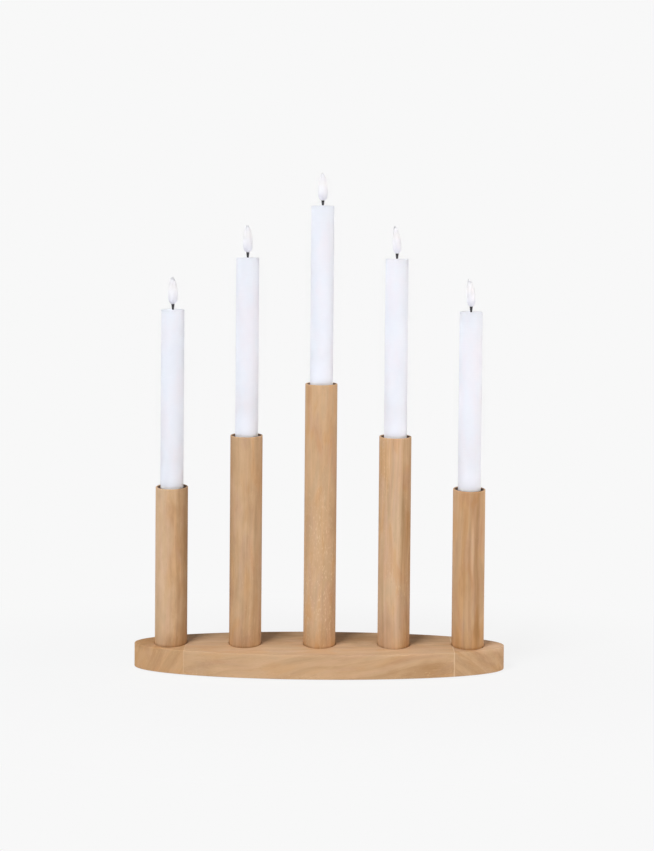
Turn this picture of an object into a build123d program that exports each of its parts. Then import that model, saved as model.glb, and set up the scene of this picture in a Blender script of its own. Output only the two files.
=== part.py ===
from build123d import *
import math
import os

# Advent candle holder
# An oval wooden base carries a row of five round wooden columns, and an LED taper candle stands in a
# black metal cup at the top of each column.
# Millimetres, +Z up. The origin is on the table under the middle of the base, X runs along the row of
# columns and -Y faces the viewer.

# Row of columns, from left to right
POSITIONS = ("outer_left", "inner_left", "centre", "inner_right", "outer_right")
COLUMN_PITCH = 71.25
CENTRE_RISE = 250.0          # rim of the centre column above the top of the base
RISE_STEP = 50.0             # each column outwards is this much lower
RIM_WALL = 1.4               # wood between the mouth and the outside of the column
RIM_RADIUS = 0.5             # rounding of the outer edge of the rim
MOUTH_CHAMFER = 0.2
FOOT_CHAMFER = 0.5

# Candle cup, drawn from sheet metal, with a flange that lies in the mouth of the column
MOUTH_GAP = 3.0              # candle to the wood of the mouth
SOCKET_DEPTH = 30.0          # rim to the floor that the candle stands on
SOCKET_CLEARANCE = 0.3
CUP_WALL = 0.8
CUP_BEND = 0.9               # outer radius of the bends in the sheet
CUP_CLEARANCE = 0.1          # cup in its bore
CUP_FLOOR_GAP = 0.2
FLANGE_INSET = 0.5           # flange below the rim
FLANGE_CLEARANCE = 0.15

# Base: a centre board and two end blocks, glued end to end
BASE_DEPTH = 69.0
BASE_THICKNESS = 23.0
BASE_EDGE_RADIUS = 1.0
SEAT_DEPTH = 8.0             # blind hole that the foot of a column stands in
SEAT_CLEARANCE = 0.2
SEAT_LIP_RADIUS = 0.8        # rounding of the edge of the seat
SEAT_MARGIN = 4.2            # wood between the outer seat and the edge of the base
SEAM_OFFSET = 15.0           # glue line inwards from the axis of the outer column

# Dowels across the glue lines
DOWEL_DIAMETER = 8.0
DOWEL_LENGTH = 30.0
DOWEL_CHAMFER = 0.8
DOWEL_CLEARANCE = 0.05
DOWEL_END_GAP = 0.5
DOWEL_WEB = 1.0              # wood between a dowel and the head hole of the outer screw
DOWEL_LEVEL = 7.5            # axis of a dowel above the underside of the base

# Wood screws from below into the columns
SCREW_DIAMETER = 4.5
SCREW_LENGTH = 40.0
SCREW_POINT = 5.0
SCREW_TIP = 0.4              # radius of the blunt end of the point
SCREW_HEAD_DIAMETER = 9.0
SCREW_HEAD_HEIGHT = 3.0
SCREW_SLOT_LENGTH = 5.0
SCREW_SLOT_WIDTH = 1.1
SCREW_SLOT_DEPTH = 1.6
SCREW_CLEARANCE = 0.15       # in the base
SCREW_FIT = 0.05             # in the column
SCREW_END_GAP = 1.0
HEAD_CLEARANCE = 0.5
HEAD_RECESS = 5.0            # depth of the head hole in the underside

# Felt pads under the base
PAD_DIAMETER = 14.0
PAD_THICKNESS = 1.0
PAD_INSET = 4.0              # pad edge to the edge of the base
PAD_SPREAD = 106.0           # outer pads from the middle of the base

# AA cells
CELL_DIAMETER = 14.3
CELL_LENGTH = 50.5
CELL_CHAMFER = 0.6
NUB_DIAMETER = 5.4
NUB_HEIGHT = 1.2
CELLS = 2

# Candle: a wax shell over a plastic battery tube
CANDLE_LENGTH = 200.0        # underside of the cap to the flat top of the wax
CELL_CLEARANCE = 0.45
TUBE_WALL = 1.2
TUBE_TOP = 2.0
TUBE_CLEARANCE = 0.1
WAX_WALL = 2.1
WAX_TOP = 6.0
WAX_EDGE_RADIUS = 0.9

# Bottom cap, held in the battery tube by two bayonet lugs
CAP_INSET = 0.2              # cap edge inside the face of the wax
CAP_HEIGHT = 10.0
CAP_FLOOR = 2.0
CAP_CHAMFER = 0.6
CAP_GAP = 0.3                # between the cap and the wax above it
SPIGOT_HEIGHT = 6.0
SPIGOT_WALL = 1.3
SPIGOT_CLEARANCE = 0.1
LUG_LAND = 2.5               # tube wall below the lug
LUG_HEIGHT = 2.0
LUG_REACH = 0.9
LUG_ANGLE = 20.0
LUG_CLEARANCE = 0.2
LUG_SIDE_ANGLE = 2.0         # free angle at each side of a lug
TWIST_ANGLE = 45.0

# Slide switch in the floor of the cap
SWITCH_TRAVEL = 1.5          # each way from the middle
SWITCH_LENGTH = 4.4
SWITCH_WIDTH = 4.0
SWITCH_CLEARANCE = 0.2
KNOB_LENGTH = 2.6
KNOB_WIDTH = 2.4
KNOB_INSET = 0.4             # knob face inside the underside of the cap

# Contact spring on a plate in the cap
PLATE_LEDGE = 1.0
PLATE_LEVEL = 7.0            # underside of the plate above the underside of the cap
PLATE_THICKNESS = 0.5
PLATE_CLEARANCE = 0.1
SPRING_WIRE = 0.7
SPRING_TURNS = 4
SPRING_TOP_RADIUS = 3.0
SPRING_GAP = 0.05
CELL_LIFT = 0.5              # lower cell above the spigot

# LED module: board over the cells, two leads and the LED in the flame
BUTTON_DIAMETER = 5.0
BUTTON_HEIGHT = 1.0
BOARD_THICKNESS = 1.6
BOARD_CLEARANCE = 0.1
BOARD_LEDGE_WIDTH = 1.2
BOARD_LEDGE_HEIGHT = 2.0
LEAD_DIAMETER = 0.3
LEAD_GAP = 0.3               # between the two leads
LED_DIAMETER = 1.8
LED_HEIGHT = 3.3

# Wick and flame cover
WICK_HEIGHT = 5.0            # above the wax
WICK_FOOT_DIAMETER = 1.9
WICK_TOP_DIAMETER = 3.0
WICK_BORE = 1.2
WICK_COLLAR_DIAMETER = 3.6
WICK_COLLAR_HEIGHT = 1.0
WICK_CLEARANCE = 0.05
FLAME_HEIGHT = 26.0
FLAME_WIDTH = 9.2
FLAME_THICKNESS = 8.2
FLAME_LEAN = 2.4             # tip of the flame off the axis of the candle
FLAME_POCKET_CLEARANCE = 0.1
# Share of the height, share of the width
FLAME_OUTLINE = (
    (0.0, 0.36), (0.04, 0.6), (0.1, 0.83), (0.19, 0.96), (0.3, 1.0), (0.46, 0.98), (0.6, 0.91),
    (0.72, 0.8), (0.82, 0.65), (0.9, 0.47), (0.96, 0.28), (0.99, 0.14), (1.0, 0.06),
)
# Direction of the lean at each position, in degrees from +X
FLAME_TURN = (115.0, 255.0, 105.0, 180.0, 180.0)

# Radii of the candle, from the cells outwards
CELL_RADIUS = CELL_DIAMETER / 2
TUBE_INNER = CELL_RADIUS + CELL_CLEARANCE
TUBE_OUTER = TUBE_INNER + TUBE_WALL
WAX_INNER = TUBE_OUTER + TUBE_CLEARANCE
WAX_OUTER = WAX_INNER + WAX_WALL
CAP_RADIUS = WAX_OUTER - CAP_INSET
SPIGOT_RADIUS = TUBE_INNER - SPIGOT_CLEARANCE
CAVITY_RADIUS = SPIGOT_RADIUS - SPIGOT_WALL
SWITCH_CAVITY = CAVITY_RADIUS - PLATE_LEDGE

# Levels in the candle, above the underside of its cap
WAX_BOTTOM = CAP_HEIGHT + CAP_GAP
SPIGOT_END = CAP_HEIGHT + SPIGOT_HEIGHT
PLATE_TOP = PLATE_LEVEL + PLATE_THICKNESS
CELL_BOTTOM = SPIGOT_END + CELL_LIFT
CELL_TOP = CELL_BOTTOM + CELLS * CELL_LENGTH
BOARD_BOTTOM = CELL_TOP + BUTTON_HEIGHT
BOARD_TOP = BOARD_BOTTOM + BOARD_THICKNESS
TUBE_END = CANDLE_LENGTH - WAX_TOP
TUBE_CEILING = TUBE_END - TUBE_TOP
WICK_TOP = CANDLE_LENGTH + WICK_HEIGHT
LUG_BOTTOM = WAX_BOTTOM + LUG_LAND

# Radii and levels of the columns and the base
MOUTH_RADIUS = WAX_OUTER + MOUTH_GAP
CUP_INNER = WAX_OUTER + SOCKET_CLEARANCE
CUP_OUTER = CUP_INNER + CUP_WALL
CUP_BORE = CUP_OUTER + CUP_CLEARANCE
FLANGE_RADIUS = MOUTH_RADIUS - FLANGE_CLEARANCE
MOUTH_DEPTH = FLANGE_INSET + CUP_WALL
BORE_DEPTH = SOCKET_DEPTH + CUP_WALL + CUP_FLOOR_GAP
COLUMN_RADIUS = MOUTH_RADIUS + RIM_WALL
SEAT_RADIUS = COLUMN_RADIUS + SEAT_CLEARANCE
BASE_BOTTOM = PAD_THICKNESS
BASE_TOP = BASE_BOTTOM + BASE_THICKNESS
SEAT_FLOOR = BASE_TOP - SEAT_DEPTH
HEAD_LEVEL = BASE_BOTTOM + HEAD_RECESS
HEAD_HOLE_RADIUS = SCREW_HEAD_DIAMETER / 2 + HEAD_CLEARANCE
SCREW_END = HEAD_LEVEL + SCREW_LENGTH
OUTER_X = 2 * COLUMN_PITCH
SEAT_REACH = SEAT_RADIUS + SEAT_MARGIN
# Oval whose nearest edge is one seat reach away from the axis of the outer column
SIDE_SHARE = 1 - (2 * SEAT_REACH / BASE_DEPTH) ** 2
BASE_HALF_LENGTH = math.hypot(BASE_DEPTH / 2, OUTER_X / math.sqrt(SIDE_SHARE))
SEAM_X = OUTER_X - SEAM_OFFSET
DOWEL_Y = HEAD_HOLE_RADIUS + DOWEL_WEB + DOWEL_DIAMETER / 2


def column_x(index):
    """Place of a column along the row."""
    return (index - 2) * COLUMN_PITCH


def rim_level(index):
    """Height of a column's rim above the table."""
    return BASE_TOP + CENTRE_RISE - abs(index - 2) * RISE_STEP


def turned(*outline):
    """Solid of revolution about Z from the (radius, height) points of its half outline."""
    face = Plane.XZ * make_face(Polyline(*outline, close=True))
    return revolve(face, Axis.Z)


def rod(radius, bottom, top):
    """Upright cylinder on the Z axis between two levels."""
    return Pos(0, 0, (bottom + top) / 2) * Cylinder(radius, top - bottom)


def sector(inner, outer, bottom, top, start, angle):
    """Part of a ring about Z that begins at an angle in degrees from +X."""
    outline = ((inner, bottom), (outer, bottom), (outer, top), (inner, top))
    face = Plane.XZ * make_face(Polyline(*outline, close=True))
    return Rot(0, 0, start) * revolve(face, Axis.Z, revolution_arc=angle)


def circles_at(part, radius, level):
    """Round edges of a turned part that have the given radius and height."""
    edges = part.edges().filter_by(GeomType.CIRCLE)
    return [e for e in edges if abs(e.radius - radius) < 1e-4 and abs(e.center().Z - level) < 1e-4]


def base_half_depth(x):
    """Half depth of the oval base at a place along the row."""
    return BASE_DEPTH / 2 * math.sqrt(1 - (x / BASE_HALF_LENGTH) ** 2)


def dowel_places():
    """Middle points of the dowels, on the two glue lines."""
    level = BASE_BOTTOM + DOWEL_LEVEL
    return [Pos(side * SEAM_X, y, level) for side in (-1, 1) for y in (-DOWEL_Y, DOWEL_Y)]


def base_oval():
    """Whole base with its column seats, screw holes and dowel holes."""
    oval = extrude(Pos(0, 0, BASE_BOTTOM) * Ellipse(BASE_HALF_LENGTH, BASE_DEPTH / 2), BASE_THICKNESS)
    oval = fillet(oval.edges().filter_by(GeomType.ELLIPSE), BASE_EDGE_RADIUS)
    seat = rod(SEAT_RADIUS, SEAT_FLOOR, BASE_TOP)
    shank_hole = rod(SCREW_DIAMETER / 2 + SCREW_CLEARANCE, BASE_BOTTOM, SEAT_FLOOR)
    head_hole = rod(HEAD_HOLE_RADIUS, BASE_BOTTOM, HEAD_LEVEL)
    for index in range(len(POSITIONS)):
        oval -= Pos(column_x(index), 0, 0) * (seat + shank_hole + head_hole)
    oval = fillet(circles_at(oval, SEAT_RADIUS, BASE_TOP), SEAT_LIP_RADIUS)
    hole = Rot(0, 90, 0) * Cylinder(
        DOWEL_DIAMETER / 2 + DOWEL_CLEARANCE, DOWEL_LENGTH + 2 * DOWEL_END_GAP
    )
    for place in dowel_places():
        oval -= place * hole
    return oval


def base_boards():
    """Centre board, left block and right block of the base."""
    oval = base_oval()
    tall = 2 * BASE_TOP
    deep = 2 * BASE_DEPTH
    end = BASE_HALF_LENGTH
    centre = oval & Box(2 * SEAM_X, deep, tall)
    left = oval & Pos(-SEAM_X - end / 2, 0, 0) * Box(end, deep, tall)
    right = oval & Pos(SEAM_X + end / 2, 0, 0) * Box(end, deep, tall)
    return centre, left, right


def dowel():
    """Wooden dowel along X, centred on the glue line."""
    pin = Cylinder(DOWEL_DIAMETER / 2, DOWEL_LENGTH)
    pin = chamfer(pin.edges().filter_by(GeomType.CIRCLE), DOWEL_CHAMFER)
    return Rot(0, 90, 0) * pin


def screw():
    """Round-head wood screw with a cross slot, pointing up."""
    radius = SCREW_DIAMETER / 2
    head_radius = SCREW_HEAD_DIAMETER / 2
    head_bottom = HEAD_LEVEL - SCREW_HEAD_HEIGHT
    head = rod(head_radius, head_bottom, HEAD_LEVEL)
    head = fillet(circles_at(head, head_radius, head_bottom), SCREW_HEAD_HEIGHT / 2)
    shank = turned(
        (0, HEAD_LEVEL), (radius, HEAD_LEVEL), (radius, SCREW_END - SCREW_POINT),
        (SCREW_TIP, SCREW_END), (0, SCREW_END),
    )
    slot = Pos(0, 0, head_bottom) * Box(SCREW_SLOT_LENGTH, SCREW_SLOT_WIDTH, 2 * SCREW_SLOT_DEPTH)
    return head + shank - slot - Rot(0, 0, 90) * slot


def felt_pads():
    """Two pads near the middle of the base and two near each end."""
    pad_radius = PAD_DIAMETER / 2
    pads = []
    for x in (-PAD_SPREAD, 0, PAD_SPREAD):
        y = base_half_depth(abs(x) + pad_radius) - PAD_INSET - pad_radius
        for side in (-1, 1):
            pads.append(Pos(x, side * y, 0) * rod(pad_radius, 0, PAD_THICKNESS))
    return pads


def column(index):
    """Round wooden column with a bore for the candle cup and a pilot hole in its foot."""
    rim = rim_level(index)
    pilot = SCREW_DIAMETER / 2 + SCREW_FIT
    pilot_end = SCREW_END + SCREW_END_GAP
    body = turned(
        (pilot, SEAT_FLOOR), (COLUMN_RADIUS - FOOT_CHAMFER, SEAT_FLOOR),
        (COLUMN_RADIUS, SEAT_FLOOR + FOOT_CHAMFER), (COLUMN_RADIUS, rim),
        (MOUTH_RADIUS + MOUTH_CHAMFER, rim), (MOUTH_RADIUS, rim - MOUTH_CHAMFER),
        (MOUTH_RADIUS, rim - MOUTH_DEPTH), (CUP_BORE, rim - MOUTH_DEPTH),
        (CUP_BORE, rim - BORE_DEPTH), (0, rim - BORE_DEPTH),
        (0, pilot_end), (pilot, pilot_end),
    )
    body = fillet(circles_at(body, COLUMN_RADIUS, rim), RIM_RADIUS)
    return Pos(column_x(index), 0, 0) * body


def candle_cup():
    """Candle cup with a flat flange, on the floor that the candle stands on."""
    flange_top = SOCKET_DEPTH - FLANGE_INSET
    flange_bottom = flange_top - CUP_WALL
    body = turned(
        (0, -CUP_WALL), (CUP_OUTER, -CUP_WALL), (CUP_OUTER, flange_bottom), (FLANGE_RADIUS, flange_bottom),
        (FLANGE_RADIUS, flange_top), (CUP_INNER, flange_top), (CUP_INNER, 0), (0, 0),
    )
    body = fillet(circles_at(body, CUP_OUTER, -CUP_WALL), CUP_BEND)
    return fillet(circles_at(body, CUP_INNER, flange_top), CUP_BEND / 2)


def wax_shell():
    """Wax shell, open below, with a hole for the wick in its flat top."""
    hole = WICK_FOOT_DIAMETER / 2 + 2 * WICK_CLEARANCE
    body = turned(
        (WAX_INNER, WAX_BOTTOM), (WAX_OUTER, WAX_BOTTOM), (WAX_OUTER, CANDLE_LENGTH),
        (hole, CANDLE_LENGTH), (hole, TUBE_END), (WAX_INNER, TUBE_END),
    )
    return fillet(circles_at(body, WAX_OUTER, CANDLE_LENGTH), WAX_EDGE_RADIUS)


def battery_tube():
    """Battery tube with a ledge for the board and two bayonet slots at its open end."""
    hole = WICK_FOOT_DIAMETER / 2 + WICK_CLEARANCE
    ledge = TUBE_INNER - BOARD_LEDGE_WIDTH
    ledge_top = BOARD_TOP + BOARD_LEDGE_HEIGHT
    body = turned(
        (TUBE_INNER, WAX_BOTTOM), (TUBE_OUTER, WAX_BOTTOM), (TUBE_OUTER, TUBE_END), (hole, TUBE_END),
        (hole, TUBE_CEILING), (TUBE_INNER, TUBE_CEILING), (TUBE_INNER, ledge_top), (ledge, ledge_top),
        (ledge, BOARD_TOP), (TUBE_INNER, BOARD_TOP),
    )
    half = LUG_ANGLE / 2 + LUG_SIDE_ANGLE
    low = LUG_BOTTOM - LUG_CLEARANCE
    high = LUG_BOTTOM + LUG_HEIGHT + LUG_CLEARANCE
    for turn in (0, 180):
        body -= sector(SPIGOT_RADIUS, WAX_INNER, low, high, turn - half, TWIST_ANGLE + 2 * half)
        body -= sector(SPIGOT_RADIUS, WAX_INNER, CAP_HEIGHT, high, turn + TWIST_ANGLE - half, 2 * half)
    return body


def cells():
    """AA cells, one on top of the other, positive ends up."""
    nub = NUB_DIAMETER / 2
    shoulder = CELL_LENGTH - NUB_HEIGHT
    cell = turned(
        (0, 0), (CELL_RADIUS - CELL_CHAMFER, 0), (CELL_RADIUS, CELL_CHAMFER),
        (CELL_RADIUS, shoulder - CELL_CHAMFER), (CELL_RADIUS - CELL_CHAMFER, shoulder),
        (nub, shoulder), (nub, CELL_LENGTH), (0, CELL_LENGTH),
    )
    return [Pos(0, 0, CELL_BOTTOM + number * CELL_LENGTH) * cell for number in range(CELLS)]


def led_module():
    """Board with its contact button, two leads up the candle, and the LED that stands on the wick."""
    button = rod(BUTTON_DIAMETER / 2, CELL_TOP, BOARD_BOTTOM)
    board = rod(TUBE_INNER - BOARD_CLEARANCE, BOARD_BOTTOM, BOARD_TOP)
    lead = rod(LEAD_DIAMETER / 2, BOARD_TOP, WICK_TOP)
    offset_x = (LEAD_DIAMETER + LEAD_GAP) / 2
    led_radius = LED_DIAMETER / 2
    led = rod(led_radius, WICK_TOP, WICK_TOP + LED_HEIGHT)
    led = fillet(circles_at(led, led_radius, WICK_TOP + LED_HEIGHT), led_radius * 0.8)
    return [button, board, Pos(-offset_x, 0, 0) * lead, Pos(offset_x, 0, 0) * lead, led]


def wick():
    """Hollow wick with a collar under the top of the battery tube."""
    bore = WICK_BORE / 2
    foot = WICK_FOOT_DIAMETER / 2
    collar = WICK_COLLAR_DIAMETER / 2
    return turned(
        (bore, TUBE_CEILING - WICK_COLLAR_HEIGHT), (collar, TUBE_CEILING - WICK_COLLAR_HEIGHT),
        (collar, TUBE_CEILING), (foot, TUBE_CEILING), (foot, CANDLE_LENGTH),
        (WICK_TOP_DIAMETER / 2, WICK_TOP), (bore, WICK_TOP),
    )


def flame():
    """Teardrop flame cover that leans towards +X, with a pocket for the LED."""
    sections = []
    for rise, spread in FLAME_OUTLINE:
        oval = Ellipse(spread * FLAME_THICKNESS / 2, spread * FLAME_WIDTH / 2)
        sections.append(Pos(FLAME_LEAN * rise ** 2, 0, WICK_TOP + rise * FLAME_HEIGHT) * oval)
    pocket_end = WICK_TOP + LED_HEIGHT + FLAME_POCKET_CLEARANCE
    return loft(sections) - rod(LED_DIAMETER / 2 + FLAME_POCKET_CLEARANCE, WICK_TOP, pocket_end)


def battery_cap():
    """Bottom cap with a spigot, two bayonet lugs and a slot for the switch knob."""
    body = turned(
        (0, 0), (CAP_RADIUS - CAP_CHAMFER, 0), (CAP_RADIUS, CAP_CHAMFER), (CAP_RADIUS, CAP_HEIGHT),
        (SPIGOT_RADIUS, CAP_HEIGHT), (SPIGOT_RADIUS, SPIGOT_END), (CAVITY_RADIUS, SPIGOT_END),
        (CAVITY_RADIUS, PLATE_LEVEL), (SWITCH_CAVITY, PLATE_LEVEL), (SWITCH_CAVITY, CAP_FLOOR),
        (0, CAP_FLOOR),
    )
    inside = CAVITY_RADIUS + SPIGOT_WALL / 2
    reach = SPIGOT_RADIUS + LUG_REACH
    for turn in (0, 180):
        body += sector(inside, reach, LUG_BOTTOM, LUG_BOTTOM + LUG_HEIGHT, turn - LUG_ANGLE / 2, LUG_ANGLE)
    slot_length = KNOB_LENGTH + 2 * (SWITCH_TRAVEL + SWITCH_CLEARANCE)
    slot = Box(slot_length, KNOB_WIDTH + 2 * SWITCH_CLEARANCE, CAP_FLOOR)
    return body - Pos(0, 0, CAP_FLOOR / 2) * slot


def spring_contact():
    """Contact plate on the ledge in the cap, with a cone-shaped wire spring up to the cells."""
    plate = rod(CAVITY_RADIUS - PLATE_CLEARANCE, PLATE_LEVEL, PLATE_TOP)
    wire = SPRING_WIRE / 2
    low = PLATE_TOP + SPRING_GAP + wire
    high = CELL_BOTTOM - SPRING_GAP - wire
    wide = CAVITY_RADIUS - PLATE_LEDGE - wire
    steps = 4 * SPRING_TURNS
    points = []
    for step in range(steps + 1):
        share = step / steps
        radius = wide + (SPRING_TOP_RADIUS - wide) * share
        angle = math.radians(90 * step)
        points.append((radius * math.cos(angle), radius * math.sin(angle), low + (high - low) * share))
    tangent = Vector(0, math.tau * wide, (high - low) / SPRING_TURNS)
    arcs = []
    for start, end in zip(points, points[1:]):
        arcs.append(TangentArc(start, end, tangent=tangent))
        tangent = arcs[-1] % 1
    path = Wire(arcs)
    coil = sweep(Plane(path @ 0, z_dir=path % 0) * Circle(wire), path)
    return [plate, coil]


def slide_switch():
    """Slider held between the floor of the cap and the contact plate, with its knob in the slot."""
    height = PLATE_LEVEL - SWITCH_CLEARANCE - CAP_FLOOR
    block = Pos(0, 0, CAP_FLOOR + height / 2) * Box(SWITCH_LENGTH, SWITCH_WIDTH, height)
    knob_height = CAP_FLOOR - KNOB_INSET
    knob = Pos(0, 0, KNOB_INSET + knob_height / 2) * Box(KNOB_LENGTH, KNOB_WIDTH, knob_height)
    return block + knob


def save(name, *pieces):
    """Write one node, as a single solid or as a group of solids."""
    solids = [solid for piece in pieces for solid in piece.solids()]
    shape = solids[0] if len(solids) == 1 else Compound(children=solids)
    export_step(shape, f"parts/{name}.step")


os.makedirs("parts", exist_ok=True)

# Base
centre_board, left_block, right_block = base_boards()
save("base_centre_board", centre_board)
save("base_left_block", left_block)
save("base_right_block", right_block)
save("base_dowels", *[place * dowel() for place in dowel_places()])
save("column_screws", *[Pos(column_x(i), 0, 0) * screw() for i in range(len(POSITIONS))])
save("felt_pads", *felt_pads())

# Columns, each with its cup and candle
places = [Pos(column_x(i), 0, rim_level(i) - SOCKET_DEPTH) for i in range(len(POSITIONS))]
save("candle_cups", *[place * candle_cup() for place in places])
for i, (position, place) in enumerate(zip(POSITIONS, places)):
    save(f"column_{position}", column(i))
    save(f"wax_shell_{position}", place * wax_shell())
    save(f"battery_tube_{position}", place * battery_tube())
    save(f"batteries_{position}", *[place * cell for cell in cells()])
    save(f"led_module_{position}", *[place * piece for piece in led_module()])
    save(f"wick_{position}", place * wick())
    save(f"flame_{position}", place * Rot(0, 0, FLAME_TURN[i]) * flame())
    save(f"battery_cap_{position}", place * battery_cap())
    save(f"spring_contact_{position}", *[place * piece for piece in spring_contact()])
    save(f"slide_switch_{position}", place * slide_switch())
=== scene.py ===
"""Advent candle holder: five wooden columns on a glued oval base, with five battery taper candles."""

import logging
import math
from dataclasses import dataclass
from enum import Enum
from typing import Sequence

import bmesh
import bpy
from mathutils import Euler, Matrix, Vector, noise


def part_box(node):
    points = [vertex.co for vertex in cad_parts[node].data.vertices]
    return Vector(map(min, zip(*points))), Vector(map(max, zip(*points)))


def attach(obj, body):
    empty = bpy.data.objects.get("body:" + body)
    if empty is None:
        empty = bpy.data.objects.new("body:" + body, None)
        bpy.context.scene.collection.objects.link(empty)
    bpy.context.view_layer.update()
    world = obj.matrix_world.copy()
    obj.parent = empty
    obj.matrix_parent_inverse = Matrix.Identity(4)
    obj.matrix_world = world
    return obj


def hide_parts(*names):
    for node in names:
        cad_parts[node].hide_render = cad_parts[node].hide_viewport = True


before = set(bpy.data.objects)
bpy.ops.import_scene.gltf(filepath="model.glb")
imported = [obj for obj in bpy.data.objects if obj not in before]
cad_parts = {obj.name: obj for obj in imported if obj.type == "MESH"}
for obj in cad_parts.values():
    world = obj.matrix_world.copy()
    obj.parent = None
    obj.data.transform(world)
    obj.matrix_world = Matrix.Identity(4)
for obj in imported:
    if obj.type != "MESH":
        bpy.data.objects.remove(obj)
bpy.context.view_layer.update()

LOG = logging.getLogger("candle_holder")
MM = 0.001
NEAR = 1e-6
CREASE = math.radians(40.0)
ORIGIN = (0.0, 0.0, 0.0)

Point = tuple[float, float, float]
Colour = tuple[float, float, float, float]
Span = tuple[float, float]
Layers = tuple[Span, ...]
Socket = bpy.types.NodeSocket
Material = bpy.types.Material


def tint(*screen: float) -> Colour:
    """Turn a colour as it looks on a screen into the linear colour that a shader takes.

    Args:
        screen: Red, green and blue on the screen, 0 to 255.

    Returns:
        Linear red, green, blue and an alpha of 1.
    """
    linear = []
    for value in screen:
        share = value / 255.0
        linear.append(share / 12.92 if share <= 0.04045 else ((share + 0.055) / 1.055) ** 2.4)
    return (*linear, 1.0)


class Place(Enum):
    """Places of the columns and candles along the row."""

    OUTER_LEFT = "outer_left"
    INNER_LEFT = "inner_left"
    CENTRE = "centre"
    INNER_RIGHT = "inner_right"
    OUTER_RIGHT = "outer_right"

    @property
    def step(self) -> int:
        """Places from the middle of the row, negative to the left."""
        return list(Place).index(self) - len(Place) // 2


# Finishes, with lengths in millimetres


@dataclass(frozen=True)
class Waves:
    """Soft noise, which may be drawn out along the grain.

    Attributes:
        across: Waves per millimetre across the grain.
        along: Waves per millimetre along the grain, which is Z.
        detail: Octaves of finer noise.
        roughness: Share of the finer noise.
        warp: How far the noise bends itself.
    """

    across: float
    along: float
    detail: float = 2.0
    roughness: float = 0.5
    warp: float = 0.0


class ShaderGraph:
    """Node tree, with short calls for the nodes that the finishes and the world share."""

    COLOUR_INPUTS = (6, 7)
    COLOUR_OUTPUT = 2

    def __init__(self, owner: Material | bpy.types.World) -> None:
        """Take over the node tree of a material or world, and empty it.

        Args:
            owner: Material or world.
        """
        owner.use_nodes = True
        self.nodes = owner.node_tree.nodes
        self.links = owner.node_tree.links
        self.nodes.clear()

    def feed(self, socket: Socket, value: object) -> None:
        """Link a socket to an output, or set it to a plain value.

        Args:
            socket: Input socket to fill.
            value: Output socket, number, vector or colour.
        """
        if isinstance(value, Socket):
            self.links.new(value, socket)
        else:
            socket.default_value = value

    def fill(self, node: bpy.types.Node, **values: object) -> None:
        """Fill inputs and settings of a node.

        Args:
            node: Node.
            values: Inputs, whose names have a capital and underscores for spaces, and settings.
        """
        for name, value in values.items():
            if name[0].isupper():
                self.feed(node.inputs[name.replace("_", " ")], value)
            else:
                setattr(node, name, value)

    def add(self, kind: str, *firsts: object, **values: object) -> bpy.types.Node:
        """Add a node.

        Args:
            kind: Blender's name of the node, without its prefix.
            firsts: Values of its first inputs, in order.
            values: Other inputs and settings, as in fill.

        Returns:
            The node.
        """
        node = self.nodes.new(f"ShaderNode{kind}")
        for socket, value in zip(node.inputs, firsts):
            self.feed(socket, value)
        self.fill(node, **values)
        return node

    def axis(self, vector: Socket, name: str) -> Socket:
        """One axis of a vector: X, Y or Z."""
        return self.add("SeparateXYZ", vector).outputs[name]

    def maths(self, kind: str, first: object, *others: object) -> Socket:
        """Arithmetic on one value, or on several in turn.

        Args:
            kind: Blender's name of the operation.
            first: First value.
            others: Values that follow.

        Returns:
            Value socket.
        """
        result = first
        for other in others or (0.0,):
            result = self.add("Math", result, other, operation=kind).outputs["Value"]
        return result

    def vector_maths(self, kind: str, *vectors: object) -> Socket:
        """One step of vector arithmetic, which gives a value for a length and else a vector."""
        node = self.add("VectorMath", *vectors, operation=kind)
        return node.outputs["Value" if kind == "LENGTH" else "Vector"]

    def rise(self, value: object, low: float, high: float, start: float = 0.0, end: float = 1.0,
             kind: str = "SMOOTHSTEP") -> Socket:
        """Step of a value, with start as the result up to low and end as the result from high on."""
        return self.add("MapRange", value, low, high, start, end, interpolation_type=kind).outputs["Result"]

    def swing(self, value: Socket, reach: float, middle: float = 0.0) -> Socket:
        """Spread noise from 0 to 1 evenly round a middle, with this reach from end to end."""
        node = self.add("Math", value, reach, middle - reach / 2.0, operation="MULTIPLY_ADD")
        return node.outputs["Value"]

    def ramp(self, value: Socket, stops: Sequence[tuple[float, Colour]], kind: str = "EASE") -> Socket:
        """Colour by a value.

        Args:
            value: Value that is read, 0 to 1.
            stops: Place and colour of each stop, in rising order.
            kind: Blender's name of the interpolation.

        Returns:
            Colour socket.
        """
        node = self.add("ValToRGB", value)
        node.color_ramp.interpolation = kind
        elements = node.color_ramp.elements
        while len(elements) < len(stops):
            elements.new(1.0)
        for element, (place, colour) in zip(elements, stops):
            element.position = place
            element.color = colour
        return node.outputs["Color"]

    def blend(self, share: object, under: object, over: object, kind: str = "MIX") -> Socket:
        """Mix two colours.

        Args:
            share: How much of the upper colour shows, 0 to 1.
            under: Lower colour.
            over: Upper colour.
            kind: Blender's name of the blend.

        Returns:
            Colour socket.
        """
        node = self.add("Mix", share, data_type="RGBA", blend_type=kind, clamp_factor=True)
        for index, colour in zip(self.COLOUR_INPUTS, (under, over)):
            self.feed(node.inputs[index], colour)
        return node.outputs[self.COLOUR_OUTPUT]

    def layered(self, share: Socket, under: Socket, over: Socket) -> Socket:
        """Mix two shaders, by the share of the upper one."""
        return self.add("MixShader", share, under, over).outputs["Shader"]

    def seen(self) -> Socket:
        """1 for a ray that shows the backdrop: from the camera, or by way of gloss or glass."""
        rays = self.add("LightPath").outputs
        kinds = ("Is Camera Ray", "Is Glossy Ray", "Is Transmission Ray")
        return self.maths("MAXIMUM", *(rays[kind] for kind in kinds))


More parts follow.
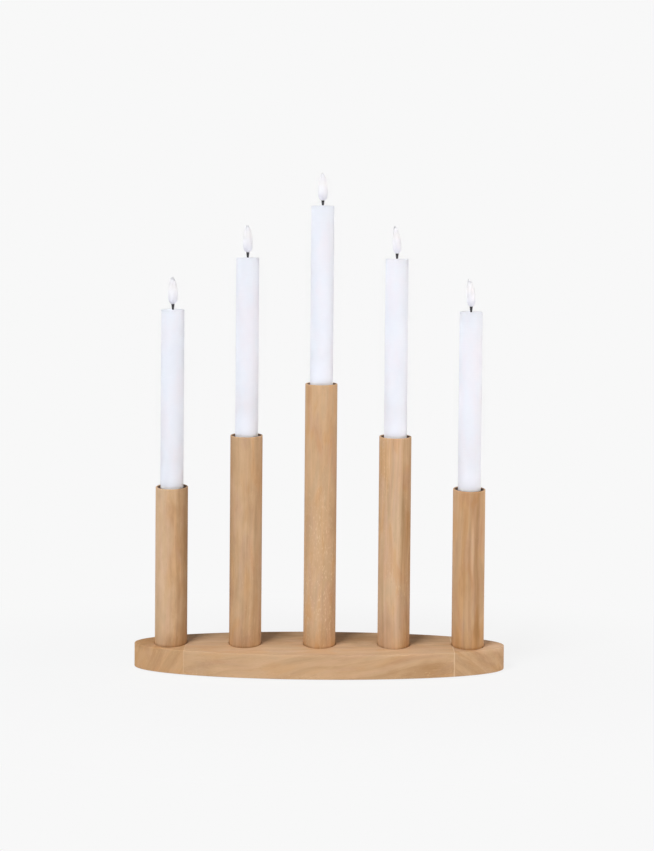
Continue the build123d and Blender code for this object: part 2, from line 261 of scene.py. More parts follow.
class FinishGraph(ShaderGraph):
    """Node tree of one finish, which holds one Principled surface."""

    def __init__(self, name: str) -> None:
        """Start a material.

        Args:
            name: Name of the material.
        """
        self.material = bpy.data.materials.new(name)
        super().__init__(self.material)
        self.surface = self.add("BsdfPrincipled")
        self.output = self.add("OutputMaterial", self.surface.outputs["BSDF"])

    def dress(self, **values: object) -> None:
        """Fill inputs and settings of the Principled surface."""
        self.fill(self.surface, **values)

    def scatter(self, scale: object, radius: Point) -> None:
        """Let light spread inside, by a scale in metres and its shares for red, green and blue."""
        self.dress(subsurface_method="BURLEY", Subsurface_Weight=1.0, Subsurface_Scale=scale,
                   Subsurface_Radius=radius)

    def relief(self, height: Socket, depth: float, strength: float) -> None:
        """Give the surface a fine relief, from heights of 0 to 1."""
        bump = self.add("Bump", Strength=strength, Distance=depth * MM, Height=height)
        self.dress(Normal=bump.outputs["Normal"])

    def object_point(self) -> Socket:
        """Point of the surface in metres, in the frame of the whole object."""
        return self.add("TexCoord").outputs["Object"]

    def framed(self, centre: Point = ORIGIN, turn: Point = ORIGIN, unit: Point = (1.0, 1.0, 1.0)) -> Socket:
        """Point of the surface in a frame of its own.

        Args:
            centre: Origin of that frame.
            turn: Turn of that frame about X, Y and Z, in degrees.
            unit: Length of one unit along each axis of that frame.

        Returns:
            Vector socket.
        """
        place = [value * MM for value in centre]
        angles = [math.radians(value) for value in turn]
        scale = [value * MM for value in unit]
        node = self.add("Mapping", self.object_point(), place, angles, scale, vector_type="TEXTURE")
        return node.outputs["Vector"]

    def level(self) -> Socket:
        """Height of the surface over the table."""
        return self.axis(self.framed(), "Z")

    def clouds(self, vector: Socket, waves: Waves, output: str = "Fac") -> Socket:
        """Soft noise.

        Args:
            vector: Point that the noise is read at.
            waves: Kind of noise.
            output: Fac for one value from 0 to 1, Color for three of them.

        Returns:
            Value or colour socket.
        """
        point = self.add("Mapping", vector, Scale=(waves.across, waves.across, waves.along))
        node = self.add("TexNoise", point.outputs["Vector"], Scale=1.0, Detail=waves.detail,
                        Roughness=waves.roughness, Distortion=waves.warp)
        return node.outputs[output]


@dataclass(frozen=True)
class StainAndShade:
    """Soft patch of darker or lighter tone: some are stains of the wood itself, others painted shade and
    painted light.

    Attributes:
        centre: Middle of the patch.
        reach: Half sizes of the patch along X, Y and Z.
        shift: Change of tone in the middle of the patch.
    """

    centre: Point
    reach: Point
    shift: float


@dataclass(frozen=True)
class Flecks:
    """Short pale flecks of the rays in the wood.

    Attributes:
        share: How strongly the flecks show.
        low: Level below which they fade out.
        high: Level above which they fade out.
        fade: Height over which they fade.
        cover: Share of the wood that has patches of flecks.
    """

    share: float
    low: float = -1000.0
    high: float = 1000.0
    fade: float = 40.0
    cover: float = 0.5


@dataclass(frozen=True)
class GlueLine:
    """Line where two boards are glued.

    Attributes:
        place: Place along X.
        share: How strongly the line shows.
        width: Half width of the line.
    """

    place: float
    share: float
    width: float


@dataclass(frozen=True)
class Timber:
    """Close-grained hardwood, coloured as the solid block that a piece is cut from; on some pieces, patches,
    the orange cast towards the foot and the layer tones also paint shade and light.

    Attributes:
        name: Name of the material.
        pith: Point on the axis that the growth layers go round.
        turn: Turn of the grain frame, whose Z runs along the grain, in degrees.
        reach: Distance of the middle of the piece from the pith.
        span: Width that the layer tones cover.
        layers: Place across the span, from 0 to 1, and tone there, 0.5 for the mean.
        tone: Shift of the whole tone.
        warmth: Share of the orange cast.
        foot_painted_bounce: Share of the orange cast that is added towards the foot, painted orange light
            bounced from the base.
        streak: Strength of the streaks along the grain.
        mottle: Strength of the soft clouds.
        blush: Strength of the warmer and cooler clouds.
        ring: Strength of the growth rings.
        ring_pitch: Distance of the growth rings.
        wander: How far the fibres stray sideways.
        gloss: Specular level.
        flecks: Pale ray flecks.
        stains_and_shades: Darker and lighter patches: stains of the wood, and painted shade and light.
        seams: Glue lines.
    """

    name: str
    pith: Point
    turn: Point
    reach: float
    span: float
    layers: Layers
    tone: float = 0.0
    warmth: float = 0.0
    foot_painted_bounce: float = 0.0
    streak: float = 1.0
    mottle: float = 1.0
    blush: float = 1.0
    ring: float = 0.03
    ring_pitch: float = 6.0
    wander: float = 14.0
    gloss: float = 0.22
    flecks: Flecks = Flecks(0.3)
    stains_and_shades: tuple[StainAndShade, ...] = ()
    seams: tuple[GlueLine, ...] = ()

    def material(self) -> Material:
        """Material with the grain, flecks, pores, patches and glue lines of this block."""
        return WoodGraph(self).material


class WoodGraph(FinishGraph):
    """Node tree of one block of wood."""

    DARK = tint(146, 109, 70)
    BROWN = tint(180, 142, 102)
    TAN = tint(206, 170, 132)
    PALE = tint(230, 196, 160)
    TONES = ((0.1, DARK), (0.38, BROWN), (0.6, TAN), (0.96, PALE))
    FLECK = tint(238, 212, 174)
    PORE = tint(140, 102, 66)
    GLUE = tint(226, 200, 164)
    CAST = tint(252, 238, 216)
    AMBER = tint(255, 248, 237)
    ASH = tint(249, 252, 255)
    ROSE = tint(252, 249, 255)

    DRIFT = Waves(0.016, 0.006)
    COARSE = Waves(0.17, 0.004)
    MEDIUM = Waves(0.55, 0.013)
    FINE = Waves(1.9, 0.045, roughness=0.6)
    CLOUD = Waves(0.06, 0.025, detail=3.0, roughness=0.6)
    HUES = Waves(0.1, 0.02, warp=0.6)
    PORES = Waves(2.1, 0.16, detail=1.0)
    DASHES = Waves(1.0, 0.28, detail=1.0)
    PATCHES = Waves(0.05, 0.016)
    GLUE_WAVE = Waves(0.13, 0.13)

    MEAN_TONE = 0.56
    COARSE_SWING = 0.3
    MEDIUM_SWING = 0.14
    FINE_SWING = 0.15
    CLOUD_SWING = 0.24
    LAYER_FRAY = 2.0
    RING_FRAY = 0.8
    PATCH_FRAY = 0.9
    PORE_SHARE = 0.2
    PORE_SPAN = (0.64, 0.76)
    DASH_SPAN = (0.56, 0.76)
    FOOT_BOUNCE_SPAN = (24.0, 52.0)

    def __init__(self, wood: Timber) -> None:
        """Build the colour and relief of the wood.

        Args:
            wood: Block of wood.
        """
        super().__init__(wood.name)
        self.wood = wood
        self.grain = self.drifting_grain()
        self.coarse = self.clouds(self.grain, self.COARSE)
        self.medium = self.clouds(self.grain, self.MEDIUM)
        self.fine = self.clouds(self.grain, self.FINE)
        self.cloud = self.clouds(self.grain, self.CLOUD)
        self.place = self.layer_place()

        colour = self.ramp(self.tone(), self.TONES, "LINEAR")
        # Orange cast: the wood's warmth all over, plus painted orange light bounced from the base towards the
        # foot.
        glow = self.rise(self.level(), *self.FOOT_BOUNCE_SPAN, wood.warmth + wood.foot_painted_bounce, wood.warmth)
        colour = self.blushed(self.blend(glow, colour, self.CAST, "MULTIPLY"))
        pore = self.rise(self.clouds(self.grain, self.PORES), *self.PORE_SPAN)
        colour = self.blend(self.maths("MULTIPLY", pore, self.PORE_SHARE), colour, self.PORE)
        colour = self.blend(self.fleck_share(), colour, self.FLECK)
        for seam in wood.seams:
            colour = self.blend(self.seam_share(seam), colour, self.GLUE)

        ridges = ((self.fine, 0.5), (self.medium, 0.3), (pore, -0.6))
        height = self.maths("ADD", *(self.maths("MULTIPLY", part, share) for part, share in ridges))
        self.relief(height, depth=0.14, strength=0.5)
        self.dress(Base_Color=colour, IOR=1.4, Specular_IOR_Level=wood.gloss,
                   Roughness=self.swing(self.medium, 0.2, 0.6))

    def drifting_grain(self) -> Socket:
        """Point in the grain frame, with the slow wander of the fibres.

        Returns:
            Vector socket, from the pith.
        """
        wander = self.wood.wander
        grain = self.framed(self.wood.pith, self.wood.turn)
        drift = self.vector_maths("SUBTRACT", self.clouds(grain, self.DRIFT, "Color"), (0.5, 0.5, 0.5))
        drift = self.vector_maths("MULTIPLY", drift, (wander, wander, 0.0))
        return self.vector_maths("ADD", grain, drift)

    def layer_place(self) -> Socket:
        """Distance from the middle growth layer, frayed by the coarse streaks.

        Returns:
            Value socket, outwards.
        """
        flat = self.vector_maths("MULTIPLY", self.grain, (1.0, 1.0, 0.0))
        place = self.maths("SUBTRACT", self.vector_maths("LENGTH", flat), self.wood.reach)
        return self.maths("ADD", place, self.swing(self.coarse, self.LAYER_FRAY))

    def tone(self) -> Socket:
        """Tone of the wood, from its growth layers, streaks, clouds, rings and patches.

        Returns:
            Value socket.
        """
        wood = self.wood
        share = self.maths("ADD", self.maths("DIVIDE", self.place, wood.span), 0.5)
        stops = [(where, (tone, tone, tone, 1.0)) for where, tone in wood.layers]
        layer = self.ramp(share, stops, "B_SPLINE")
        return self.maths(
            "ADD", self.swing(layer, 1.0, self.MEAN_TONE + wood.tone),
            self.swing(self.coarse, self.COARSE_SWING * wood.streak),
            self.swing(self.medium, self.MEDIUM_SWING * wood.streak), self.swing(self.fine, self.FINE_SWING),
            self.swing(self.cloud, self.CLOUD_SWING * wood.mottle), self.rings(),
            *(self.stain_and_shade_shift(tone_patch) for tone_patch in wood.stains_and_shades),
        )

    def rings(self) -> Socket:
        """Growth rings that come and go: each pales outwards and ends in a crisp edge.

        Returns:
            Value socket, a shift of tone.
        """
        ring = self.wood.ring
        turns = self.maths("DIVIDE", self.place, self.wood.ring_pitch)
        share = self.maths("FRACT", self.maths("ADD", turns, self.swing(self.coarse, self.RING_FRAY)))
        body = self.rise(share, 0.0, 0.9, -1.0, 1.0)
        edge = self.rise(share, 0.92, 1.0, 0.0, -2.0)
        strength = self.rise(self.cloud, 0.3, 0.6, 0.25 * ring, ring)
        return self.maths("MULTIPLY", self.maths("ADD", body, edge), strength)

    def stain_and_shade_shift(self, tone_patch: StainAndShade) -> Socket:
        """Change of tone by one patch, whose edge the clouds fray.

        Args:
            tone_patch: Patch: a stain, painted shade or painted light.

        Returns:
            Value socket.
        """
        far = self.vector_maths("LENGTH", self.framed(tone_patch.centre, unit=tone_patch.reach))
        far = self.maths("ADD", far, self.swing(self.cloud, self.PATCH_FRAY))
        return self.rise(far, 0.1, 1.0, tone_patch.shift, 0.0)

    def fleck_share(self) -> Socket:
        """How much of the fleck colour shows.

        Returns:
            Value socket.
        """
        flecks = self.wood.flecks
        edge = 0.62 - 0.24 * flecks.cover
        dash = self.rise(self.clouds(self.grain, self.DASHES), *self.DASH_SPAN)
        patch = self.rise(self.clouds(self.grain, self.PATCHES), edge - 0.06, edge + 0.1)
        level = self.level()
        above = self.rise(level, flecks.low, flecks.low + flecks.fade)
        below = self.rise(level, flecks.high - flecks.fade, flecks.high, 1.0, 0.0)
        return self.maths("MULTIPLY", dash, patch, above, below, flecks.share)

    def blushed(self, colour: Socket) -> Socket:
        """Colour with warmer, greyer and rosier clouds.

        Args:
            colour: Colour before the clouds.

        Returns:
            Colour socket.
        """
        blush = self.wood.blush
        hues = self.clouds(self.grain, self.HUES, "Color")
        warm, rosy = self.axis(hues, "X"), self.axis(hues, "Y")
        amber = self.rise(warm, 0.5, 0.68, 0.0, blush)
        ash = self.rise(warm, 0.32, 0.5, blush, 0.0)
        rose = self.rise(rosy, 0.45, 0.68, 0.0, blush)
        for share, cast in ((amber, self.AMBER), (ash, self.ASH), (rose, self.ROSE)):
            colour = self.blend(share, colour, cast, "MULTIPLY")
        return colour

    def seam_share(self, seam: GlueLine) -> Socket:
        """How much of a glue line shows.

        Args:
            seam: Glue line.

        Returns:
            Value socket.
        """
        local = self.framed((seam.place, 0.0, 0.0))
        wave = self.clouds(local, self.GLUE_WAVE)
        aside = self.maths("ADD", self.axis(local, "X"), self.swing(wave, 1.6 * seam.width))
        aside = self.maths("ABSOLUTE", aside)
        line = self.rise(aside, 0.4 * seam.width, 1.3 * seam.width, seam.share, 0.0)
        return self.maths("MULTIPLY", line, self.rise(wave, 0.25, 0.6, 0.6, 1.0))


@dataclass(frozen=True)
class CandleWax:
    """Smooth cool-white wax that lets light through.

    Attributes:
        name: Name of the material.
        climb: Name of the attribute that holds the height above the mouth.
    """

    name: str = "wax"
    climb: str = "climb"

    BODY = tint(228, 231, 238)
    BLOOM = tint(231, 229, 235)
    # Painted light: foot and lip paler than the wax, to lift the shade inside the mouth.
    FOOT = tint(244, 246, 254)
    PAINTED_LIP_LIGHT = tint(255, 255, 255)
    CLOUD = Waves(0.06, 0.03, detail=3.0)
    SPECK = Waves(0.9, 0.9)
    PAINTED_LIP_SPAN = (-0.5, 3.0)
    PAINTED_FOOT_SPAN = (2.0, 30.0)
    SCATTER_SPAN = (0.0, 40.0)
    SCATTER = (0.006, 0.045)

    def material(self) -> Material:
        """Build the wax, with a faint cloudy bloom, a foot and lip painted paler as light against the shade
        of the mouth, and a hand-smoothed surface.

        Returns:
            Material.
        """
        graph = FinishGraph(self.name)
        point = graph.framed()
        cloud = graph.clouds(point, self.CLOUD)
        speck = graph.clouds(point, self.SPECK)
        climb = graph.add("Attribute", attribute_name=self.climb).outputs["Fac"]
        colour = graph.blend(graph.rise(cloud, 0.35, 0.7), self.BODY, self.BLOOM)
        # Painted light at the foot and lip.
        colour = graph.blend(graph.rise(climb, *self.PAINTED_FOOT_SPAN), self.FOOT, colour)
        colour = graph.blend(graph.rise(climb, *self.PAINTED_LIP_SPAN), self.PAINTED_LIP_LIGHT, colour)
        height = graph.maths("ADD", cloud, graph.maths("MULTIPLY", speck, 0.12))
        graph.relief(height, depth=0.25, strength=0.5)
        graph.dress(Base_Color=colour, IOR=1.43, Specular_IOR_Level=0.3,
                    Roughness=graph.swing(speck, 0.12, 0.46))
        graph.scatter(graph.rise(climb, *self.SCATTER_SPAN, *self.SCATTER), (1.0, 1.0, 1.05))
        return graph.material


@dataclass(frozen=True)
class FrostedFlame:
    """Milky moulded plastic of a flame cover, more violet towards the foot.

    Attributes:
        name: Name of the material.
        foot_level: Level of the foot of the flame.
        height: Height of the flame.
    """

    name: str
    foot_level: float
    height: float = 26.0

    FOOT = tint(247, 246, 254)
    BODY = tint(248, 247, 250)
    HEART = tint(249, 247, 247)
    MILK = ((0.02, FOOT), (0.42, BODY), (0.62, HEART), (0.95, BODY))
    CLOUD = Waves(0.2, 0.2)
    SCATTER = 0.024

    def material(self) -> Material:
        """Build the milky plastic.

        Returns:
            Material.
        """
        graph = FinishGraph(self.name)
        point = graph.framed((0.0, 0.0, self.foot_level))
        cloud = graph.clouds(point, self.CLOUD)
        share = graph.maths("DIVIDE", graph.axis(point, "Z"), self.height)
        colour = graph.ramp(graph.maths("ADD", share, graph.swing(cloud, 0.12)), self.MILK)
        graph.relief(cloud, depth=0.06, strength=0.4)
        graph.dress(Base_Color=colour, IOR=1.4, Specular_IOR_Level=0.15, Transmission_Weight=0.1,
                    Roughness=graph.swing(cloud, 0.1, 0.45))
        graph.scatter(self.SCATTER, (1.0, 1.0, 1.0))
        return graph.material


@dataclass(frozen=True)
class Moulding:
    """Moulded plastic with a fine eroded texture.

    Attributes:
        name: Name of the material.
        colour: Main colour.
        shade: Colour of its darker clouds.
        roughness: Mean roughness.
    """

    name: str
    colour: Colour
    shade: Colour
    roughness: float = 0.45

    GRIT = Waves(3.0, 3.0)
    CLOUD = Waves(0.12, 0.12, detail=3.0)

    def material(self) -> Material:
        """Build the plastic.

        Returns:
            Material.
        """
        graph = FinishGraph(self.name)
        point = graph.framed()
        grit = graph.clouds(point, self.GRIT)
        shaded = graph.rise(graph.clouds(point, self.CLOUD), 0.35, 0.7)
        graph.relief(grit, depth=0.05, strength=0.5)
        graph.dress(Base_Color=graph.blend(shaded, self.colour, self.shade), IOR=1.5,
                    Roughness=graph.swing(grit, 0.15, self.roughness))
        return graph.material


@dataclass(frozen=True)
class SheetMetal:
    """Metal, bare or under a coat of lacquer.

    Attributes:
        name: Name of the material.
        colour: Colour of the clean metal or lacquer.
        worn: Colour of scuffed places.
        metallic: 1 for bare metal.
        roughness: Mean roughness.
        gloss: Specular level.
    """

    name: str
    colour: Colour
    worn: Colour
    metallic: float
    roughness: float
    gloss: float = 0.5

    SCUFFS = Waves(1.4, 0.3, detail=3.0)
    CLOUD = Waves(0.3, 0.3)
    WORN_SHARE = 0.6

    def material(self) -> Material:
        """Build the metal, with faint scuffs and rubbed places.

        Returns:
            Material.
        """
        graph = FinishGraph(self.name)
        point = graph.framed()
        scuff = graph.clouds(point, self.SCUFFS)
        worn = graph.maths("MULTIPLY", graph.rise(scuff, 0.55, 0.8), self.WORN_SHARE)
        dull = graph.swing(graph.clouds(point, self.CLOUD), 0.2, self.roughness)
        graph.relief(scuff, depth=0.03, strength=0.5)
        graph.dress(Base_Color=graph.blend(worn, self.colour, self.worn), Metallic=self.metallic,
                    Specular_IOR_Level=self.gloss, Roughness=dull)
        return graph.material


@dataclass(frozen=True)
class PressedFelt:
    """Felt of the pads: matted short fibres."""

    name: str = "pad_felt"
    fibre: Colour = tint(112, 96, 80)
    pit: Colour = tint(66, 55, 45)

    MAT = Waves(2.4, 2.4, detail=4.0, roughness=0.7, warp=1.5)

    def material(self) -> Material:
        """Build the felt.

        Returns:
            Material.
        """
        graph = FinishGraph(self.name)
        mat = graph.clouds(graph.framed(), self.MAT)
        graph.relief(mat, depth=0.4, strength=0.8)
        graph.dress(Base_Color=graph.blend(graph.rise(mat, 0.3, 0.7), self.pit, self.fibre),
                    Roughness=0.95, Sheen_Weight=0.4)
        return graph.material


@dataclass(frozen=True)
class CircuitBoard:
    """Green lacquered board with copper paths under the lacquer."""

    name: str = "led_board"
    lacquer: Colour = tint(38, 92, 62)
    path: Colour = tint(74, 132, 84)

    PATHS = Waves(0.5, 0.5, detail=1.0, warp=2.0)

    def material(self) -> Material:
        """Build the board.

        Returns:
            Material.
        """
        graph = FinishGraph(self.name)
        cloud = graph.clouds(graph.framed(), self.PATHS)
        graph.relief(cloud, depth=0.05, strength=0.5)
        graph.dress(Base_Color=graph.blend(graph.rise(cloud, 0.5, 0.54), self.lacquer, self.path),
                    Roughness=graph.swing(cloud, 0.1, 0.3))
        return graph.material


# Pieces, with meshes in metres and woods in millimetres


def dress_node(name: str, material: Material) -> None:
    """Give a carried-over node its finish.

    Args:
        name: Name of the node.
        material: Finish.
    """
    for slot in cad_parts[name].material_slots:
        slot.material = material
    LOG.info("dressed %s", name)


def finish_piece(name: str, mesh: bmesh.types.BMesh, material: Material, body: str,
                 node: str) -> None:
    """Turn a bmesh into a piece that rides on a body and stands for a node.

    Args:
        name: Name of the piece.
        mesh: Shape, in place; it is freed.
        material: Finish.
        body: Body that the piece moves with.
        node: Node that the piece stands for.
    """
    data = bpy.data.meshes.new(name)
    mesh.to_mesh(data)
    mesh.free()
    data.shade_smooth()
    data.set_sharp_from_angle(angle=CREASE)
    data.materials.append(material)
    piece = bpy.data.objects.new(name, data)
    bpy.context.scene.collection.objects.link(piece)
    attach(piece, body)
    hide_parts(node)
    LOG.info("built %s: %d faces", name, len(data.polygons))


def spun(outline: Sequence[Span], steps: int) -> bmesh.types.BMesh:
    """Spin a closed outline round the Z axis.

    Args:
        outline: Radius and level of each corner.
        steps: Steps of the full turn.

    Returns:
        Closed shape with its faces outwards.
    """
    mesh = bmesh.new()
    corners = [mesh.verts.new((radius, 0.0, level)) for radius, level in outline]
    edges = [mesh.edges.new(ends) for ends in zip(corners, corners[1:] + corners[:1])]
    bmesh.ops.spin(mesh, geom=corners + edges, cent=ORIGIN, axis=(0.0, 0.0, 1.0), angle=2.0 * math.pi,
                   steps=steps, use_merge=True)
    bmesh.ops.remove_doubles(mesh, verts=mesh.verts[:], dist=NEAR)
    bmesh.ops.recalc_face_normals(mesh, faces=mesh.faces[:])
    return mesh


def soften(mesh: bmesh.types.BMesh, edges: list[bmesh.types.BMEdge], radius: float, segments: int) -> None:
    """Round edges, with so many faces across the rounding."""
    bmesh.ops.bevel(mesh, geom=edges, offset=radius, offset_type="OFFSET", affect="EDGES", segments=segments,
                    profile=0.5, material=-1, clamp_overlap=True)


def soften_ring(mesh: bmesh.types.BMesh, ring: Span, radius: float, segments: int) -> None:
    """Round the edges of a spun shape on one circle.

    Args:
        mesh: Spun shape.
        ring: Radius and level of the circle.
        radius: Radius of the rounding.
        segments: Faces across the rounding.
    """
    spots = {vert for vert in mesh.verts
             if (Vector((vert.co.xy.length, vert.co.z)) - Vector(ring)).length < NEAR}
    soften(mesh, [edge for edge in mesh.edges if spots.issuperset(edge.verts)], radius, segments)


@dataclass
class Base:
    """Oval base: centre board, two end blocks, dowels, column screws, felt pads and candle cups."""

    seam: float = 127.5
    gloss: float = 0.08
    blush: float = 0.7
    pad_edge: float = 0.3 * MM
    pad_fray: float = 0.25 * MM
    pad_steps: int = 48
    fray_rim: float = 0.8
    fray_waves: float = 700.0

    def boards(self) -> dict[str, Timber]:
        """Wood of each board.

        Returns:
            Node name to wood.
        """
        left = GlueLine(-self.seam, share=0.38, width=0.45)
        right = GlueLine(self.seam, share=0.62, width=0.6)
        shared = {"gloss": self.gloss, "blush": self.blush}
        return {
            "base_centre_board": Timber(
                "centre_board_wood", pith=(20.0, 50.0, 84.0), turn=(0.0, 83.0, 0.0), reach=100.0, span=80.0,
                layers=((0.0, 0.5), (0.2, 0.53), (0.4, 0.49), (0.6, 0.54), (0.8, 0.48), (1.0, 0.52)),
                streak=0.45, mottle=0.8, ring=0.042, ring_pitch=9.0, wander=34.0,
                flecks=Flecks(0.35, high=12.0, fade=8.0, cover=0.3), seams=(left, right), **shared,
                stains_and_shades=(
                    StainAndShade((100.0, -30.0, 8.0), (58.0, 24.0, 18.0), -0.16),
                    StainAndShade((-60.0, -30.0, 14.0), (60.0, 20.0, 20.0), 0.05),
                    # Painted light: a pale strip along the front of the top.
                    StainAndShade((0.0, -23.0, 24.0), (240.0, 18.0, 5.0), 0.11),
                    # Painted shadow: a darker strip on the back half of the top, where the columns shade it.
                    StainAndShade((20.0, 16.0, 24.0), (140.0, 26.0, 6.0), -0.18),
                ),
            ),
            "base_left_block": Timber(
                "left_block_wood", pith=(-250.0, 30.0, 60.0), turn=(0.0, 33.0, 0.0), reach=96.0, span=70.0,
                layers=((0.0, 0.44), (0.3, 0.5), (0.5, 0.54), (0.7, 0.46), (1.0, 0.5)),
                tone=0.03, warmth=0.5, streak=0.5, ring=0.048, ring_pitch=16.0, wander=30.0,
                flecks=Flecks(0.15), seams=(left,), **shared,
                # Painted shade: the left block's top darker.
                stains_and_shades=(StainAndShade((-162.0, 4.0, 26.0), (34.0, 34.0, 9.0), -0.2),),
            ),
            "base_right_block": Timber(
                "right_block_wood", pith=(226.0, 40.0, 80.0), turn=(0.0, 128.0, 0.0), reach=96.0, span=60.0,
                layers=((0.0, 0.52), (0.3, 0.55), (0.6, 0.49), (1.0, 0.54)),
                tone=-0.075, streak=0.5, ring=0.042, ring_pitch=12.0, wander=18.0,
                flecks=Flecks(0.1), seams=(right,), **shared,
                # Painted light: the right block's top lighter.
                stains_and_shades=(StainAndShade((164.0, 0.0, 26.0), (34.0, 34.0, 9.0), 0.32),),
            ),
            "base_dowels": Timber(
                "dowel_wood", pith=(0.0, 0.0, -30.0), turn=(0.0, 90.0, 0.0), reach=38.0, span=40.0,
                layers=((0.0, 0.5), (0.5, 0.6), (1.0, 0.5)), tone=0.1,
            ),
        }

    def dress(self) -> None:
        """Dress the boards, what holds them together and the cups in the columns, and build the pads."""
        for node, timber in self.boards().items():
            dress_node(node, timber.material())
        steel = SheetMetal("screw_steel", tint(196, 188, 160), tint(150, 142, 120), 1.0, 0.35)
        dress_node("column_screws", steel.material())
        self.build_pads()
        cup = SheetMetal("cup_lacquer", tint(76, 52, 39), tint(102, 78, 62), 0.0, 0.6, 0.06)
        dress_node("candle_cups", cup.material())

    def build_pads(self) -> None:
        """Build the felt pads, with pressed edges that fray a little, where the plain pads sit."""
        low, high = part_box("felt_pads")
        middles = self.pad_middles()
        radius = high[0] - max(middle.x for middle in middles)
        pads = bmesh.new()
        for middle in middles:
            disc = bmesh.ops.create_circle(pads, cap_ends=True, segments=self.pad_steps, radius=radius)
            foot = disc["verts"]
            cap = list(dict.fromkeys(face for vert in foot for face in vert.link_faces))
            raised = bmesh.ops.extrude_face_region(pads, geom=cap)["geom"]
            top = [item for item in raised if isinstance(item, bmesh.types.BMVert)]
            rims = [edge for edge in dict.fromkeys(edge for vert in foot + top for edge in vert.link_edges)
                    if (edge.verts[0] in top) == (edge.verts[1] in top)]
            bmesh.ops.translate(pads, verts=top, vec=(0.0, 0.0, high[2] - low[2]))
            bmesh.ops.translate(pads, verts=foot + top, vec=(middle.x, middle.y, low[2]))
            soften(pads, rims, self.pad_edge, segments=3)
        for vert in pads.verts:
            middle = min(middles, key=lambda spot: (spot.xy - vert.co.xy).length)
            aside = vert.co.xy - middle.xy
            if aside.length > self.fray_rim * radius:
                fray = self.pad_fray * (0.5 + 0.5 * noise.noise(vert.co * self.fray_waves))
                vert.co.xy = middle.xy + aside * (1.0 - fray / radius)
        bmesh.ops.recalc_face_normals(pads, faces=pads.faces[:])
        finish_piece("felt_pads_pressed", pads, PressedFelt().material(), "holder", "felt_pads")

    def pad_middles(self) -> list[Vector]:
        """Middles of the plain pads.

        Returns:
            Middle of each pad.
        """
        plain = bmesh.new()
        plain.from_mesh(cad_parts["felt_pads"].data)
        bmesh.ops.remove_doubles(plain, verts=plain.verts[:], dist=NEAR)
        middles = []
        done = set()
        for start in plain.verts:
            if start in done:
                continue
            pad = {start}
            fresh = {start}
            while fresh:
                fresh = {edge.other_vert(vert) for vert in fresh for edge in vert.link_edges} - pad
                pad |= fresh
            done |= pad
            axes = zip(*(vert.co for vert in pad))
            middles.append(Vector([(min(axis) + max(axis)) / 2.0 for axis in axes]))
        plain.free()
        return middles


